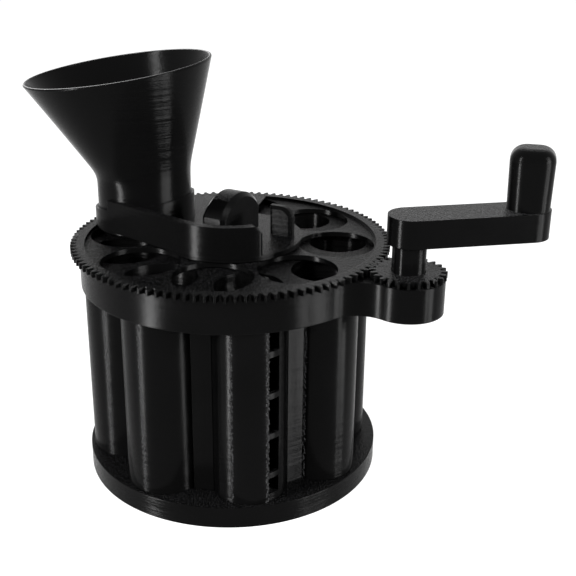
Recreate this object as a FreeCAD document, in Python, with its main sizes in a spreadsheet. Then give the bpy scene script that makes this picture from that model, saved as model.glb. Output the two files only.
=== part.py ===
import FreeCAD, Part
import math
import os
import re

import Sketcher

# A hand-cranked rotary coin sorter. Coins dropped in the funnel fall into the pockets of a toothed
# disc. The crank turns the disc over a plate with one hole for each coin, smallest coin first, and
# each coin falls into the tube below its hole.
#
# Millimetres, +Z up. The origin is where the main axis meets the surface the sorter stands on, and
# the front is towards -Y. Angles are in degrees from +X, seen from above.

os.makedirs("parts", exist_ok=True)
doc = FreeCAD.newDocument("CoinSorter")
sheet = doc.addObject("Spreadsheet::Sheet", "Dim")

sizes = {
    # Coins, from the first tube round to the last, clockwise in falling size.
    "coin_1": 25.75,
    "coin_2": 24.25,
    "coin_3": 22.25,
    "coin_4": 21.25,
    "coin_5": 19.75,
    "coin_6": 18.75,
    "coin_7": 16.25,
    "coin_gap": 0.35,
    "first_angle": -172.2,
    "station_step": 45.0,
    "small_step": 42.0,
    "small_inset": 2.6,
    # Base and tubes.
    "base_border": 1.4,
    "base_height": 7.8,
    "seat_height": 3.0,
    "seat_gap": 0.15,
    "tube_wall": 1.4,
    "tube_spacing": 1.09,
    "tube_length": 70.6,
    "column_radius": 12.4,
    "core_depth": 9.1,
    "core_wall": 2.0,
    "core_gap": 0.15,
    # Viewing slot of the front tube.
    "slot_angle": -51.0,
    "slot_width": 4.4,
    "slot_foot": 3.0,
    "rung_height": 2.2,
    "rung_step": 15.13,
    "first_rung": 10.2,
    # Ring housing and the plate in it.
    "ring_wall": 1.6,
    "skirt_gap": 0.3,
    "skirt_wall": 0.8,
    "skirt_depth": 6.15,
    "web_thickness": 2.5,
    "plate_thickness": 2.5,
    "plate_gap": 0.15,
    "ring_lip": 0.7,
    "arm_end_radius": 12.6,
    "arm_fillet": 12.0,
    # Toothed disc.
    "gear_module": 1.0,
    "pressure_angle": 20.0,
    "dedendum": 1.25,
    "rim_over": 0.75,
    "running_gap": 0.3,
    "drum_gap": 0.4,
    "tooth_height": 2.1,
    "recess_depth": 1.0,
    "pocket_gap": 0.7,
    "pocket_edge": 0.6,
    "pocket_count": 8,
    "pocket_angle": -9.7,
    "bush_radius": 8.0,
    "shaft_fit": 0.06,
    # Spindle bolt and knob.
    "bolt_radius": 2.5,
    "bolt_gap": 0.25,
    "head_radius": 4.5,
    "head_height": 3.6,
    "head_recess": 4.4,
    "washer_radius": 5.5,
    "washer_thickness": 1.0,
    "knob_width": 25.2,
    "knob_thickness": 9.5,
    "knob_height": 15.5,
    "knob_shoulder": 8.9,
    "knob_chamfer": 1.5,
    "knob_angle": 57.8,
    "insert_radius": 3.4,
    "insert_length": 8.0,
    "bolt_in_knob": 8.8,
    # Cover and hopper arm.
    "cover_thickness": 0.8,
    "cover_start": 74.0,
    "cover_gap": 0.5,
    "hub_radius": 25.5,
    "hub_thickness": 1.0,
    "wall_thickness": 3.0,
    "wall_height": 10.6,
    "wall_end": -68.0,
    "wall_bevel": 3.2,
    "load_angle": 147.8,
    "load_hole_gap": 1.1,
    "fin_angle": -27.2,
    "fin_aside": 7.65,
    "fin_start": 12.3,
    "fin_length": 8.6,
    "fin_thickness": 4.0,
    "fin_height": 10.6,
    "fin_corner": 4.4,
    "fin_chamfer": 1.1,
    # Funnel and its collar.
    "funnel_radius": 17.2,
    "funnel_wall": 1.2,
    "funnel_fit": 0.1,
    "funnel_rest": 0.1,
    "funnel_tube_rise": 19.2,
    "funnel_bend_slope": 0.09,
    "mouth_radius": 33.8,
    "mouth_out": 9.6,
    "mouth_rise": 35.7,
    "mouth_slope": 0.145,
    "funnel_fall": 176.0,
    "collar_wall": 1.1,
    "collar_height": 7.6,
    "collar_slope": 0.178,
    # Crank drive.
    "pinion_teeth": 24,
    "pinion_angle": -31.2,
    "mesh_gap": 0.1,
    "backlash": 0.16,
    "journal_radius": 4.0,
    "journal_tail": 0.5,
    "sleeve_wall": 2.0,
    "fixed_fit": 0.05,
    "retainer_radius": 7.0,
    "retainer_thickness": 2.5,
    "bar_width": 10.8,
    "bar_corner": 4.4,
    "bar_rise": 11.8,
    "bar_fit": 0.1,
    "socket_depth": 7.5,
    "socket_play": 0.3,
    "crank_angle": 8.1,
    "crank_throw": 40.3,
    "crank_radius": 7.7,
    "crank_height": 9.6,
    "grip_angle": -17.0,
    "grip_width": 14.2,
    "grip_top_width": 15.0,
    "grip_corner": 5.6,
    "grip_length": 20.4,
    "grip_crown": 4.4,
    "pin_radius": 2.5,
    "pin_head_radius": 4.3,
    "pin_head_height": 1.9,
    "pin_head_depth": 2.2,
    "pin_in_grip": 14.0,
    "pin_end_gap": 0.4,
}
for row, (name, value) in enumerate(sizes.items(), start=1):
    sheet.set(f"A{row}", name)
    sheet.set(f"B{row}", str(value))
    sheet.setAlias(f"B{row}", name)
doc.recompute()


def full(formula):
    """Write each size named in a formula as its cell in the sheet."""
    def cell(word):
        return "Dim." + word.group() if word.group() in sizes else word.group()
    return re.sub(r"[a-z][a-z0-9_]*", cell, str(formula))


def size(formula):
    """The value of a formula of sizes."""
    return float(sheet.evalExpression(full(formula)))


def bind(thing, **formulas):
    """Bind properties of an object to formulas of sizes."""
    for name, formula in formulas.items():
        thing.setExpression(name, full(formula))


def place(thing, x="0", y="0", z="0", turn=None):
    """Bind an object's place, and its turn about the vertical."""
    for axis, formula in zip("xyz", (x, y, z)):
        thing.setExpression("Placement.Base." + axis, full(formula))
    if turn is not None:
        thing.setExpression("Placement.Rotation.Angle", full(f"({turn}) * 1 deg"))
    return thing


def polar(radius, angle):
    """X and Y formulas of a point given by radius and angle."""
    return f"({radius}) * cos({angle})", f"({radius}) * sin({angle})"


# Formulas of the levels, from the bottom up.
WEB_BOTTOM = "(base_height + tube_length)"
WEB_TOP = f"({WEB_BOTTOM} + web_thickness)"
PLATE_TOP = f"({WEB_TOP} + plate_thickness)"
RING_BOTTOM = f"({WEB_BOTTOM} - skirt_depth)"
RING_TOP = f"({PLATE_TOP} + ring_lip)"
DRUM_BOTTOM = f"({PLATE_TOP} + running_gap)"
TOOTH_BOTTOM = f"({RING_TOP} + running_gap)"
TOOTH_TOP = f"({TOOTH_BOTTOM} + tooth_height)"
FACE_TOP = f"({TOOTH_TOP} - recess_depth)"
COVER_BOTTOM = f"({FACE_TOP} + running_gap)"
HUB_BOTTOM = f"({COVER_BOTTOM} + cover_thickness)"
HUB_TOP = f"({HUB_BOTTOM} + hub_thickness)"
KNOB_BOTTOM = f"({HUB_TOP} + running_gap)"
FUNNEL_BOTTOM = f"({HUB_TOP} + funnel_rest)"
BEND_LEVEL = f"({HUB_TOP} + funnel_tube_rise)"
CRANK_BOTTOM = f"({TOOTH_BOTTOM} + bar_rise)"
CRANK_TOP = f"({CRANK_BOTTOM} + crank_height)"
GRIP_BOTTOM = f"({CRANK_TOP} + running_gap)"


def bore_radius(coin):
    """Formula of the radius of a coin's hole and tube bore."""
    return f"(coin_{coin} / 2 + coin_gap)"


def tube_reach():
    """Formula of how far out the tubes reach, so that the two largest stand tube_spacing apart.

    It is the law of cosines for the triangle of the main axis and the two tubes' axes.
    """
    first = f"({bore_radius(1)} + tube_wall)"
    second = f"({bore_radius(2)} + tube_wall)"
    both = f"({first} + {second})"
    part_of_gap = f"tube_spacing * (2 * {both} + tube_spacing) / 4"
    spread = f"({part_of_gap} + cos(station_step / 2) ^ 2 * {first} * {second})"
    return f"({both} / 2 + sqrt({both} ^ 2 / 4 + {spread} / sin(station_step / 2) ^ 2))"


# Formulas of the radii and places that several pieces share.
TUBE_REACH = tube_reach()
RING_RADIUS = f"({TUBE_REACH} + skirt_gap + skirt_wall)"
SKIRT_BORE = f"({TUBE_REACH} + skirt_gap)"
RING_BORE = f"({RING_RADIUS} - ring_wall)"
BOLT_BORE = "(bolt_radius + bolt_gap)"
LARGEST = "max(coin_1; coin_2; coin_3; coin_4; coin_5; coin_6; coin_7)"
POCKET_RADIUS = f"({LARGEST} / 2 + pocket_gap)"
DRUM_RADIUS = f"({RING_BORE} - drum_gap)"
POCKET_PITCH = f"({DRUM_RADIUS} - pocket_edge - {POCKET_RADIUS})"
LOAD_X, LOAD_Y = polar(POCKET_PITCH, "load_angle")
DISC_TEETH = f"round(2 * ({RING_RADIUS} + rim_over) / gear_module + 2 * dedendum)"
CENTRES = f"(gear_module * ({DISC_TEETH} + pinion_teeth) / 2 + mesh_gap)"
PINION_X, PINION_Y = polar(CENTRES, "pinion_angle")
COLLAR_BORE = "(funnel_radius + funnel_fit)"
COLLAR_RADIUS = f"({COLLAR_BORE} + collar_wall)"
LOAD_HOLE = f"({POCKET_RADIUS} + load_hole_gap)"
CORE_RADIUS = f"({TUBE_REACH} - core_depth)"
CORE_BORE = f"({TUBE_REACH} - {LARGEST} - 2 * (coin_gap + tube_wall) - core_gap - core_wall)"
RETAINER_RECESS = "(running_gap + retainer_thickness + journal_tail)"

COINS = range(1, 8)
WIDE_STEPS = 2
FIRST_INSET = 5
FRONT_TUBE = 3
RUNG_COUNT = 4


def station(coin):
    """X and Y formulas of a coin's hole. The small coins' tubes stand closer and further in."""
    wide = min(coin - 1, WIDE_STEPS)
    close = coin - 1 - wide
    inset = "small_inset" if coin >= FIRST_INSET else "0"
    radius = f"{TUBE_REACH} - tube_wall - {bore_radius(coin)} - {inset}"
    return polar(radius, f"first_angle + {wide} * station_step + {close} * small_step")


def cylinder(name, radius, height, x="0", y="0", z="0"):
    """An upright round bar."""
    bar = doc.addObject("Part::Cylinder", name)
    bind(bar, Radius=radius, Height=height)
    return place(bar, x, y, z)


def box(name, length, width, height):
    """A block, placed by its caller."""
    block = doc.addObject("Part::Box", name)
    bind(block, Length=length, Width=width, Height=height)
    return block


def fuse(name, solids):
    """Several solids made one."""
    joined = doc.addObject("Part::MultiFuse", name)
    joined.Shapes = solids
    joined.Refine = True
    return joined


def common(name, solids):
    """What several solids share."""
    shared = doc.addObject("Part::MultiCommon", name)
    shared.Shapes = solids
    shared.Refine = True
    return shared


def cut(name, solid, tools):
    """A solid less one or more tools."""
    left = doc.addObject("Part::Cut", name)
    left.Base = solid
    left.Tool = tools[0] if len(tools) == 1 else fuse(name + "_tools", tools)
    left.Refine = True
    return left


def shaped(name, shape):
    """A solid whose outline is worked out in code."""
    made = doc.addObject("Part::Feature", name)
    made.Shape = shape
    return made


def sleeve(name, outer, inner, length, x="0", y="0", z="0"):
    """A round tube: two circles on the ground plane, padded."""
    body = doc.addObject("PartDesign::Body", name)
    sketch = body.newObject("Sketcher::SketchObject", name + "_rings")
    ground = [plane for plane in body.Origin.OriginFeatures if plane.Role == "XY_Plane"][0]
    sketch.AttachmentSupport = (ground, "")
    sketch.MapMode = "FlatFace"
    for index, (title, radius) in enumerate((("outer", outer), ("inner", inner))):
        centre = FreeCAD.Vector(0, 0, 0)
        up = FreeCAD.Vector(0, 0, 1)
        sketch.addGeometry(Part.Circle(centre, up, size(radius)), False)
        sketch.addConstraint(Sketcher.Constraint("Coincident", index, 3, -1, 1))
        number = sketch.addConstraint(Sketcher.Constraint("Radius", index, size(radius)))
        sketch.renameConstraint(number, title)
        sketch.setExpression("Constraints." + title, full(radius))
    pad = body.newObject("PartDesign::Pad", name + "_pad")
    pad.Profile = sketch
    bind(pad, Length=length)
    return place(body, x, y, z)


# Outlines: points on a circle, rounded polygons, gear teeth.
def point(radius, angle, z=0.0):
    """A point by radius and angle."""
    turn = math.radians(angle)
    return FreeCAD.Vector(radius * math.cos(turn), radius * math.sin(turn), z)


def arc(first, middle, last):
    """The edge of an arc through three points."""
    return Part.Arc(first, middle, last).toShape()


def line(first, last):
    """The edge of a straight line."""
    return Part.LineSegment(first, last).toShape()


def prism(edges, bottom, height):
    """An outline stood up as a solid."""
    face = Part.Face(Part.Wire(edges))
    solid = face.extrude(FreeCAD.Vector(0, 0, height))
    solid.translate(FreeCAD.Vector(0, 0, bottom))
    return solid


def rounded_outline(corners, radius):
    """The edges of a convex outline with each corner rounded."""
    starts = []
    middles = []
    ends = []
    count = len(corners)
    for index, corner in enumerate(corners):
        before = (corners[index - 1] - corner).normalize()
        after = (corners[(index + 1) % count] - corner).normalize()
        half_turn = before.getAngle(after) / 2
        reach = radius / math.tan(half_turn)
        inward = (before + after).normalize()
        starts.append(corner + before * reach)
        ends.append(corner + after * reach)
        middles.append(corner + inward * (radius / math.sin(half_turn) - radius))
    edges = []
    for index in range(count):
        edges.append(arc(starts[index], middles[index], ends[index]))
        following = starts[(index + 1) % count]
        if ends[index].distanceToPoint(following) > 1e-6:
            edges.append(line(ends[index], following))
    return edges


def square(width, turn=0.0):
    """The corners of a square on the origin."""
    return [point(width / math.sqrt(2), turn + 45 + 90 * side) for side in range(4)]


def involute(angle):
    """How far an involute has turned at a pressure angle in radians."""
    return math.tan(angle) - angle


def gear_outline(teeth, module, thinning, phase):
    """The edges of a spur gear with one tooth centred at the phase angle."""
    pressure = math.radians(size("pressure_angle"))
    pitch = module * teeth / 2
    base = pitch * math.cos(pressure)
    root = pitch - size("dedendum") * module
    tip = pitch + module
    half_tooth = (math.pi * module / 2 - thinning) / 2 / pitch

    def half_angle(radius):
        slant = math.acos(min(1.0, base / radius))
        return math.degrees(half_tooth + involute(pressure) - involute(slant))

    step = 360 / teeth
    edges = []
    for tooth in range(teeth):
        middle = phase + tooth * step
        low, half, high = half_angle(root), half_angle(pitch), half_angle(tip)
        edges.append(arc(point(root, middle - low), point(pitch, middle - half), point(tip, middle - high)))
        edges.append(arc(point(tip, middle - high), point(tip, middle), point(tip, middle + high)))
        edges.append(arc(point(tip, middle + high), point(pitch, middle + half), point(root, middle + low)))
        valley = middle + step / 2
        edges.append(arc(point(root, middle + low), point(root, valley), point(root, middle + step - low)))
    return edges


def upright_slab(edges, thickness, chamfer):
    """A slab standing on the ground, its outline in the plane of X and Z and its free edges chamfered."""
    slab = Part.Face(Part.Wire(edges)).extrude(FreeCAD.Vector(0, thickness, 0))
    slab.translate(FreeCAD.Vector(0, -thickness / 2, 0))
    tiny = 1e-6
    free_edges = [edge for edge in slab.Edges if edge.BoundBox.YLength < tiny < edge.BoundBox.ZMax]
    return slab.makeChamfer(chamfer, free_edges)


def below_slope(solid, middle, level, slope, direction):
    """What is left of a solid under a plane that falls outward along a direction."""
    span = 400.0
    lid = Part.makeBox(span, span, span, FreeCAD.Vector(-span / 2, -span / 2, 0))
    lid.rotate(FreeCAD.Vector(0, 0, 0), FreeCAD.Vector(0, 1, 0), math.degrees(math.atan(slope)))
    lid.rotate(FreeCAD.Vector(0, 0, 0), FreeCAD.Vector(0, 0, 1), direction)
    lid.translate(FreeCAD.Vector(middle.x, middle.y, level))
    return solid.cut(lid)


def slanted_ring(middle, radius, level, slope, direction):
    """The closed edge where an upright round tube meets a plane that falls along a direction."""
    along = point(1, direction)
    across = point(1, direction + 90)
    centre = FreeCAD.Vector(middle.x, middle.y, level)
    low_end = centre + along * radius - FreeCAD.Vector(0, 0, slope * radius)
    return Part.Wire(Part.Ellipse(low_end, centre + across * radius, centre).toShape())


# The base and what stands on it.
def base_disc():
    """A thick round foot with a low seat inside each tube, and the bolt's bore and recess."""
    solids = [cylinder("base_slab", f"{TUBE_REACH} + base_border", "base_height")]
    for coin in COINS:
        x, y = station(coin)
        seat_radius = f"{bore_radius(coin)} - seat_gap"
        solids.append(cylinder(f"base_seat_{coin}", seat_radius, "seat_height", x, y, "base_height"))
    bore = cylinder("base_bore", BOLT_BORE, "base_height")
    recess = cylinder("base_recess", "washer_radius + bolt_gap", "head_recess + washer_thickness")
    return cut("base_disc", fuse("base_solid", solids), [bore, recess])


def coin_tube(coin):
    """The tube that stacks one size of coin."""
    x, y = station(coin)
    name = f"coin_tube_{coin}"
    outer = f"{bore_radius(coin)} + tube_wall"
    return sleeve(name, outer, bore_radius(coin), "tube_length", x, y, "base_height")


def slotted_tube(coin):
    """The front tube, with a viewing slot crossed by rungs."""
    whole = coin_tube(coin)
    name = whole.Name
    whole.Label = name + "_uncut"
    x, y = station(coin)
    turn = "slot_angle"
    side_x = f"{x} + slot_width / 2 * sin({turn})"
    side_y = f"{y} - slot_width / 2 * cos({turn})"
    reach = f"{bore_radius(coin)} + 2 * tube_wall"
    windows = []
    for gap in range(RUNG_COUNT + 1):
        low = "slot_foot" if gap == 0 else f"first_rung + {gap - 1} * rung_step + rung_height / 2"
        high = "tube_length" if gap == RUNG_COUNT else f"first_rung + {gap} * rung_step - rung_height / 2"
        window = box(f"slot_window_{gap}", reach, "slot_width", f"{high} - ({low})")
        windows.append(place(window, side_x, side_y, f"base_height + {low}", turn))
    return cut(name + "_slotted", whole, windows)


def centre_column():
    """The post that carries the housing's middle round the bolt."""
    return sleeve("centre_column", "column_radius", BOLT_BORE, "tube_length", z="base_height")


def tube_core():
    """The drum between the tubes, hollowed round each of them."""
    drum = cylinder("core_drum", CORE_RADIUS, "tube_length", z="base_height")
    tools = [cylinder("core_bore", CORE_BORE, "tube_length", z="base_height")]
    for coin in COINS:
        x, y = station(coin)
        hollow = f"{bore_radius(coin)} + tube_wall + core_gap"
        tools.append(cylinder(f"core_hollow_{coin}", hollow, "tube_length", x, y, "base_height"))
    return cut("tube_core", drum, tools)


def arm_outline():
    """The ring with its side arm: two circles joined by hollow arcs."""
    ring = size(RING_RADIUS)
    end = size("arm_end_radius")
    hollow = size("arm_fillet")
    reach = size(CENTRES)
    along = ((ring + hollow) ** 2 - (end + hollow) ** 2 + reach ** 2) / (2 * reach)
    aside = math.sqrt((ring + hollow) ** 2 - along ** 2)
    tip = FreeCAD.Vector(reach, 0, 0)
    middles = {side: FreeCAD.Vector(along, side * aside, 0) for side in (1, -1)}
    on_ring = {side: middles[side] * (ring / (ring + hollow)) for side in (1, -1)}
    on_end = {side: tip + (middles[side] - tip) * (end / (end + hollow)) for side in (1, -1)}
    waist = {side: FreeCAD.Vector(along, side * (aside - hollow), 0) for side in (1, -1)}
    return [
        arc(on_ring[1], FreeCAD.Vector(-ring, 0, 0), on_ring[-1]),
        arc(on_ring[-1], waist[-1], on_end[-1]),
        arc(on_end[-1], tip + FreeCAD.Vector(end, 0, 0), on_end[1]),
        arc(on_end[1], waist[1], on_ring[1]),
    ]


def ring_housing():
    """The ring with a web over the tubes, a skirt round their tops and the drive's side arm."""
    height = f"{RING_TOP} - {RING_BOTTOM}"
    block = prism(arm_outline(), size(RING_BOTTOM), size(height))
    block.rotate(FreeCAD.Vector(0, 0, 0), FreeCAD.Vector(0, 0, 1), size("pinion_angle"))
    sleeve_bore = "journal_radius + shaft_fit + sleeve_wall + fixed_fit"
    recess_radius = "retainer_radius + running_gap"
    tools = [
        cylinder("ring_upper_bore", RING_BORE, f"{RING_TOP} - {WEB_TOP}", z=WEB_TOP),
        cylinder("ring_lower_bore", SKIRT_BORE, "skirt_depth", z=RING_BOTTOM),
        cylinder("web_centre_hole", BOLT_BORE, "web_thickness", z=WEB_BOTTOM),
        cylinder("arm_bore", sleeve_bore, height, PINION_X, PINION_Y, RING_BOTTOM),
        cylinder("arm_recess", recess_radius, RETAINER_RECESS, PINION_X, PINION_Y, RING_BOTTOM),
    ]
    for coin in COINS:
        x, y = station(coin)
        tools.append(cylinder(f"web_hole_{coin}", bore_radius(coin), "web_thickness", x, y, WEB_BOTTOM))
    return cut("ring_housing", shaped("ring_block", block), tools)


def sorting_plate():
    """The plate with one hole for each coin, loose in the ring."""
    plate = cylinder("plate_blank", f"{RING_BORE} - plate_gap", "plate_thickness", z=WEB_TOP)
    tools = [cylinder("plate_centre_hole", BOLT_BORE, "plate_thickness", z=WEB_TOP)]
    for coin in COINS:
        x, y = station(coin)
        tools.append(cylinder(f"plate_hole_{coin}", bore_radius(coin), "plate_thickness", x, y, WEB_TOP))
    return cut("sorting_plate", plate, tools)


# The toothed disc and its bush.
def rotor_disc():
    """The toothed disc with a drum inside the ring, a shallow recess and the coin pockets."""
    teeth = int(size(DISC_TEETH))
    outline = gear_outline(teeth, size("gear_module"), size("backlash"), size("pinion_angle"))
    crown = shaped("disc_crown", prism(outline, size(TOOTH_BOTTOM), size("tooth_height")))
    drum_height = f"{TOOTH_BOTTOM} + tooth_height / 2 - {DRUM_BOTTOM}"
    drum = cylinder("disc_drum", DRUM_RADIUS, drum_height, z=DRUM_BOTTOM)
    depth = f"{TOOTH_TOP} - {DRUM_BOTTOM}"
    tools = [
        cylinder("disc_recess", DRUM_RADIUS, "recess_depth", z=FACE_TOP),
        cylinder("disc_hole", "bush_radius + shaft_fit", depth, z=DRUM_BOTTOM),
    ]
    for pocket in range(int(size("pocket_count"))):
        x, y = polar(POCKET_PITCH, f"pocket_angle + {pocket} * 360 / pocket_count")
        tools.append(cylinder(f"pocket_{pocket + 1}", POCKET_RADIUS, depth, x, y, DRUM_BOTTOM))
    return cut("rotor_disc", fuse("disc_blank", [crown, drum]), tools)


def rotor_bush():
    """The spacer the disc turns on, clamped between the plate and the cover."""
    height = f"{COVER_BOTTOM} - {PLATE_TOP}"
    return sleeve("rotor_bush", "bush_radius", "bolt_radius + fixed_fit", height, z=PLATE_TOP)


# The cover, hopper arm and funnel.
def cover_plate():
    """The thin plate that keeps coins in their pockets behind the hub and under the funnel."""
    middle = cylinder("cover_middle", "hub_radius", "cover_thickness", z=COVER_BOTTOM)
    sector = cylinder("cover_sector", f"{DRUM_RADIUS} - cover_gap", "cover_thickness", z=COVER_BOTTOM)
    bind(sector, Angle="(load_angle - cover_start) * 1 deg")
    place(sector, z=COVER_BOTTOM, turn="cover_start")
    ear = cylinder("cover_ear", COLLAR_RADIUS, "cover_thickness", LOAD_X, LOAD_Y, COVER_BOTTOM)
    recess = cylinder("cover_limit", f"{DRUM_RADIUS} - cover_gap", "cover_thickness", z=COVER_BOTTOM)
    blank = common("cover_blank", [fuse("cover_forms", [middle, sector, ear]), recess])
    hole = cylinder("cover_hole", "bolt_radius + fixed_fit", "cover_thickness", z=COVER_BOTTOM)
    coin_hole = cylinder("cover_coin_hole", LOAD_HOLE, "cover_thickness", LOAD_X, LOAD_Y, COVER_BOTTOM)
    return cut("cover_plate", blank, [hole, coin_hole])


def hull_normals():
    """Angles of the two lines that touch both the hub and the collar."""
    lean = math.degrees(math.acos((size("hub_radius") - size(COLLAR_RADIUS)) / size(POCKET_PITCH)))
    return size("load_angle") - lean, size("load_angle") + lean


def hopper_floor():
    """The flat floor that spans the hub and the collar."""
    hub = size("hub_radius")
    collar = size(COLLAR_RADIUS)
    away = size("load_angle")
    middle = point(size(POCKET_PITCH), away)
    back, front = hull_normals()
    edges = [
        arc(point(hub, front), point(hub, away + 180), point(hub, back)),
        line(point(hub, back), middle + point(collar, back)),
        arc(middle + point(collar, back), middle + point(collar, away), middle + point(collar, front)),
        line(middle + point(collar, front), point(hub, front)),
    ]
    return prism(edges, size(HUB_BOTTOM), size("hub_thickness"))


def hopper_wall():
    """The guard wall along the front of the hub, straight on to the collar, with a round, bevelled end."""
    outer = size("hub_radius")
    thick = size("wall_thickness")
    inner = outer - thick
    collar = size(COLLAR_RADIUS)
    middle = point(size(POCKET_PITCH), size("load_angle"))
    front = hull_normals()[1]
    end = 360 + size("wall_end")
    half = (front + end) / 2
    nose = point(outer - thick / 2, end) + point(thick / 2, end + 90)
    edges = [
        arc(point(outer, front), point(outer, half), point(outer, end)),
        arc(point(outer, end), nose, point(inner, end)),
        arc(point(inner, end), point(inner, half), point(inner, front)),
        line(point(inner, front), middle + point(collar - thick, front)),
        line(middle + point(collar - thick, front), middle + point(collar, front)),
        line(middle + point(collar, front), point(outer, front)),
    ]
    wall = prism(edges, size(HUB_BOTTOM), size("hub_thickness + wall_height"))
    bevel_start = nose - point(size("wall_bevel"), end + 90)
    return below_slope(wall, bevel_start, size(f"{HUB_TOP} + wall_height"), 1.0, end + 90)


def hopper_collar():
    """The short collar that holds the funnel, its rim falling outward."""
    middle = point(size(POCKET_PITCH), size("load_angle"))
    bottom = size(HUB_BOTTOM)
    level = size(f"{HUB_TOP} + collar_height")
    blank = Part.makeCylinder(size(COLLAR_RADIUS), 2 * size("hub_thickness + collar_height"),
                              middle + FreeCAD.Vector(0, 0, bottom))
    return below_slope(blank, middle, level, size("collar_slope"), size("load_angle"))


def hopper_fin():
    """The thumb fin beside a radius of the hub, its outer top corner rounded. The crank passes it."""
    start = size("fin_start")
    end = size("fin_start + fin_length")
    top = size("hub_thickness + fin_height")
    corner = size("fin_corner")
    hub = FreeCAD.Vector(end - corner, 0, top - corner)
    bent = corner / math.sqrt(2)
    outer = hub + FreeCAD.Vector(corner, 0, 0)
    upper = hub + FreeCAD.Vector(0, 0, corner)
    edges = [
        line(FreeCAD.Vector(start, 0, 0), FreeCAD.Vector(end, 0, 0)),
        line(FreeCAD.Vector(end, 0, 0), outer),
        arc(outer, hub + FreeCAD.Vector(bent, 0, bent), upper),
        line(upper, FreeCAD.Vector(start, 0, top)),
        line(FreeCAD.Vector(start, 0, top), FreeCAD.Vector(start, 0, 0)),
    ]
    fin = upright_slab(edges, size("fin_thickness"), size("fin_chamfer"))
    fin.rotate(FreeCAD.Vector(0, 0, 0), FreeCAD.Vector(0, 0, 1), size("fin_angle"))
    fin.translate(point(size("fin_aside"), size("fin_angle") + 90, size(HUB_BOTTOM)))
    return fin


def hopper_arm():
    """Floor, wall, collar and fin in one piece, with the funnel's socket and the coin hole."""
    solids = [
        shaped("hopper_floor", hopper_floor()),
        shaped("hopper_wall", hopper_wall()),
        shaped("hopper_collar", hopper_collar()),
        shaped("hopper_fin", hopper_fin()),
    ]
    tall = "wall_height + collar_height"
    tools = [
        cylinder("collar_bore", COLLAR_BORE, tall, LOAD_X, LOAD_Y, HUB_TOP),
        cylinder("collar_coin_hole", LOAD_HOLE, "hub_thickness", LOAD_X, LOAD_Y, HUB_BOTTOM),
        cylinder("hub_hole", "bolt_radius + fixed_fit", "hub_thickness", z=HUB_BOTTOM),
    ]
    return cut("hopper_arm", fuse("hopper_solid", solids), tools)


def funnel_solid(thinner):
    """The funnel's outside, or its inside when made thinner: an upright tube and a leaning cone."""
    direction = size("load_angle")
    foot = point(size(POCKET_PITCH), direction)
    head = point(size(POCKET_PITCH) + size("mouth_out"), direction)
    radius = size("funnel_radius") - thinner
    bottom = size(FUNNEL_BOTTOM)
    bend = size(BEND_LEVEL)
    slope = size("funnel_bend_slope")
    fall = size("funnel_fall")
    rise = 2 * (bend - bottom)
    blank = Part.makeCylinder(radius, rise, foot + FreeCAD.Vector(0, 0, bottom))
    tube = below_slope(blank, foot, bend, slope, fall)
    low = slanted_ring(foot, radius, bend, slope, fall)
    mouth = size("mouth_radius") - thinner
    high = slanted_ring(head, mouth, bend + size("mouth_rise"), size("mouth_slope"), fall)
    cone = Part.makeLoft([low, high], True, True)
    return tube.fuse(cone)


def funnel():
    """The slanted funnel, open at both ends."""
    outside = funnel_solid(0)
    inside = funnel_solid(size("funnel_wall"))
    return shaped("funnel", outside.cut(inside))


# The spindle bolt, its washer and the knob.
def spindle_bolt():
    """The long bolt that clamps the stack, head below and thread in the knob."""
    head = cylinder("bolt_head", "head_radius", "head_height", z="head_recess - head_height")
    shank_length = f"{KNOB_BOTTOM} + bolt_in_knob - head_recess"
    shank = cylinder("bolt_shank", "bolt_radius", shank_length, z="head_recess")
    return fuse("spindle_bolt", [head, shank])


def bolt_washer():
    """The washer between the bolt's head and the base."""
    inner = "bolt_radius + fixed_fit"
    return sleeve("bolt_washer", "washer_radius", inner, "washer_thickness", z="head_recess")


def clamp_knob():
    """The round-topped slab that is turned to loosen or clamp the top."""
    half = size("knob_width") / 2
    shoulder = size("knob_shoulder")
    feet = {side: FreeCAD.Vector(side * half, 0, 0) for side in (1, -1)}
    shoulders = {side: FreeCAD.Vector(side * half, 0, shoulder) for side in (1, -1)}
    edges = [
        line(feet[-1], feet[1]),
        line(feet[1], shoulders[1]),
        arc(shoulders[1], FreeCAD.Vector(0, 0, size("knob_height")), shoulders[-1]),
        line(shoulders[-1], feet[-1]),
    ]
    block = upright_slab(edges, size("knob_thickness"), size("knob_chamfer"))
    block.rotate(FreeCAD.Vector(0, 0, 0), FreeCAD.Vector(0, 0, 1), size("knob_angle"))
    block.translate(FreeCAD.Vector(0, 0, size(KNOB_BOTTOM)))
    socket = cylinder("knob_socket", "insert_radius + fixed_fit", "insert_length", z=KNOB_BOTTOM)
    relief = cylinder("knob_relief", "bolt_radius + bolt_gap", "bolt_in_knob + running_gap", z=KNOB_BOTTOM)
    return cut("clamp_knob", shaped("knob_block", block), [socket, relief])


def knob_insert():
    """The threaded sleeve in the knob."""
    return sleeve("knob_insert", "insert_radius", "bolt_radius + shaft_fit", "insert_length", z=KNOB_BOTTOM)


# The crank drive.
def at_pinion(solid, bottom):
    """Put a solid made on the origin on the pinion's axis."""
    moved = solid.copy()
    moved.rotate(FreeCAD.Vector(0, 0, 0), FreeCAD.Vector(0, 0, 1), size("crank_angle"))
    moved.translate(point(size(CENTRES), size("pinion_angle"), size(bottom)))
    return moved


def square_bar(margin, bottom, height):
    """An upright square bar on the pinion's axis, well rounded and wider by a margin all round."""
    corners = square(size("bar_width") + 2 * margin)
    return at_pinion(prism(rounded_outline(corners, size("bar_corner") + margin), 0, height), bottom)


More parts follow.
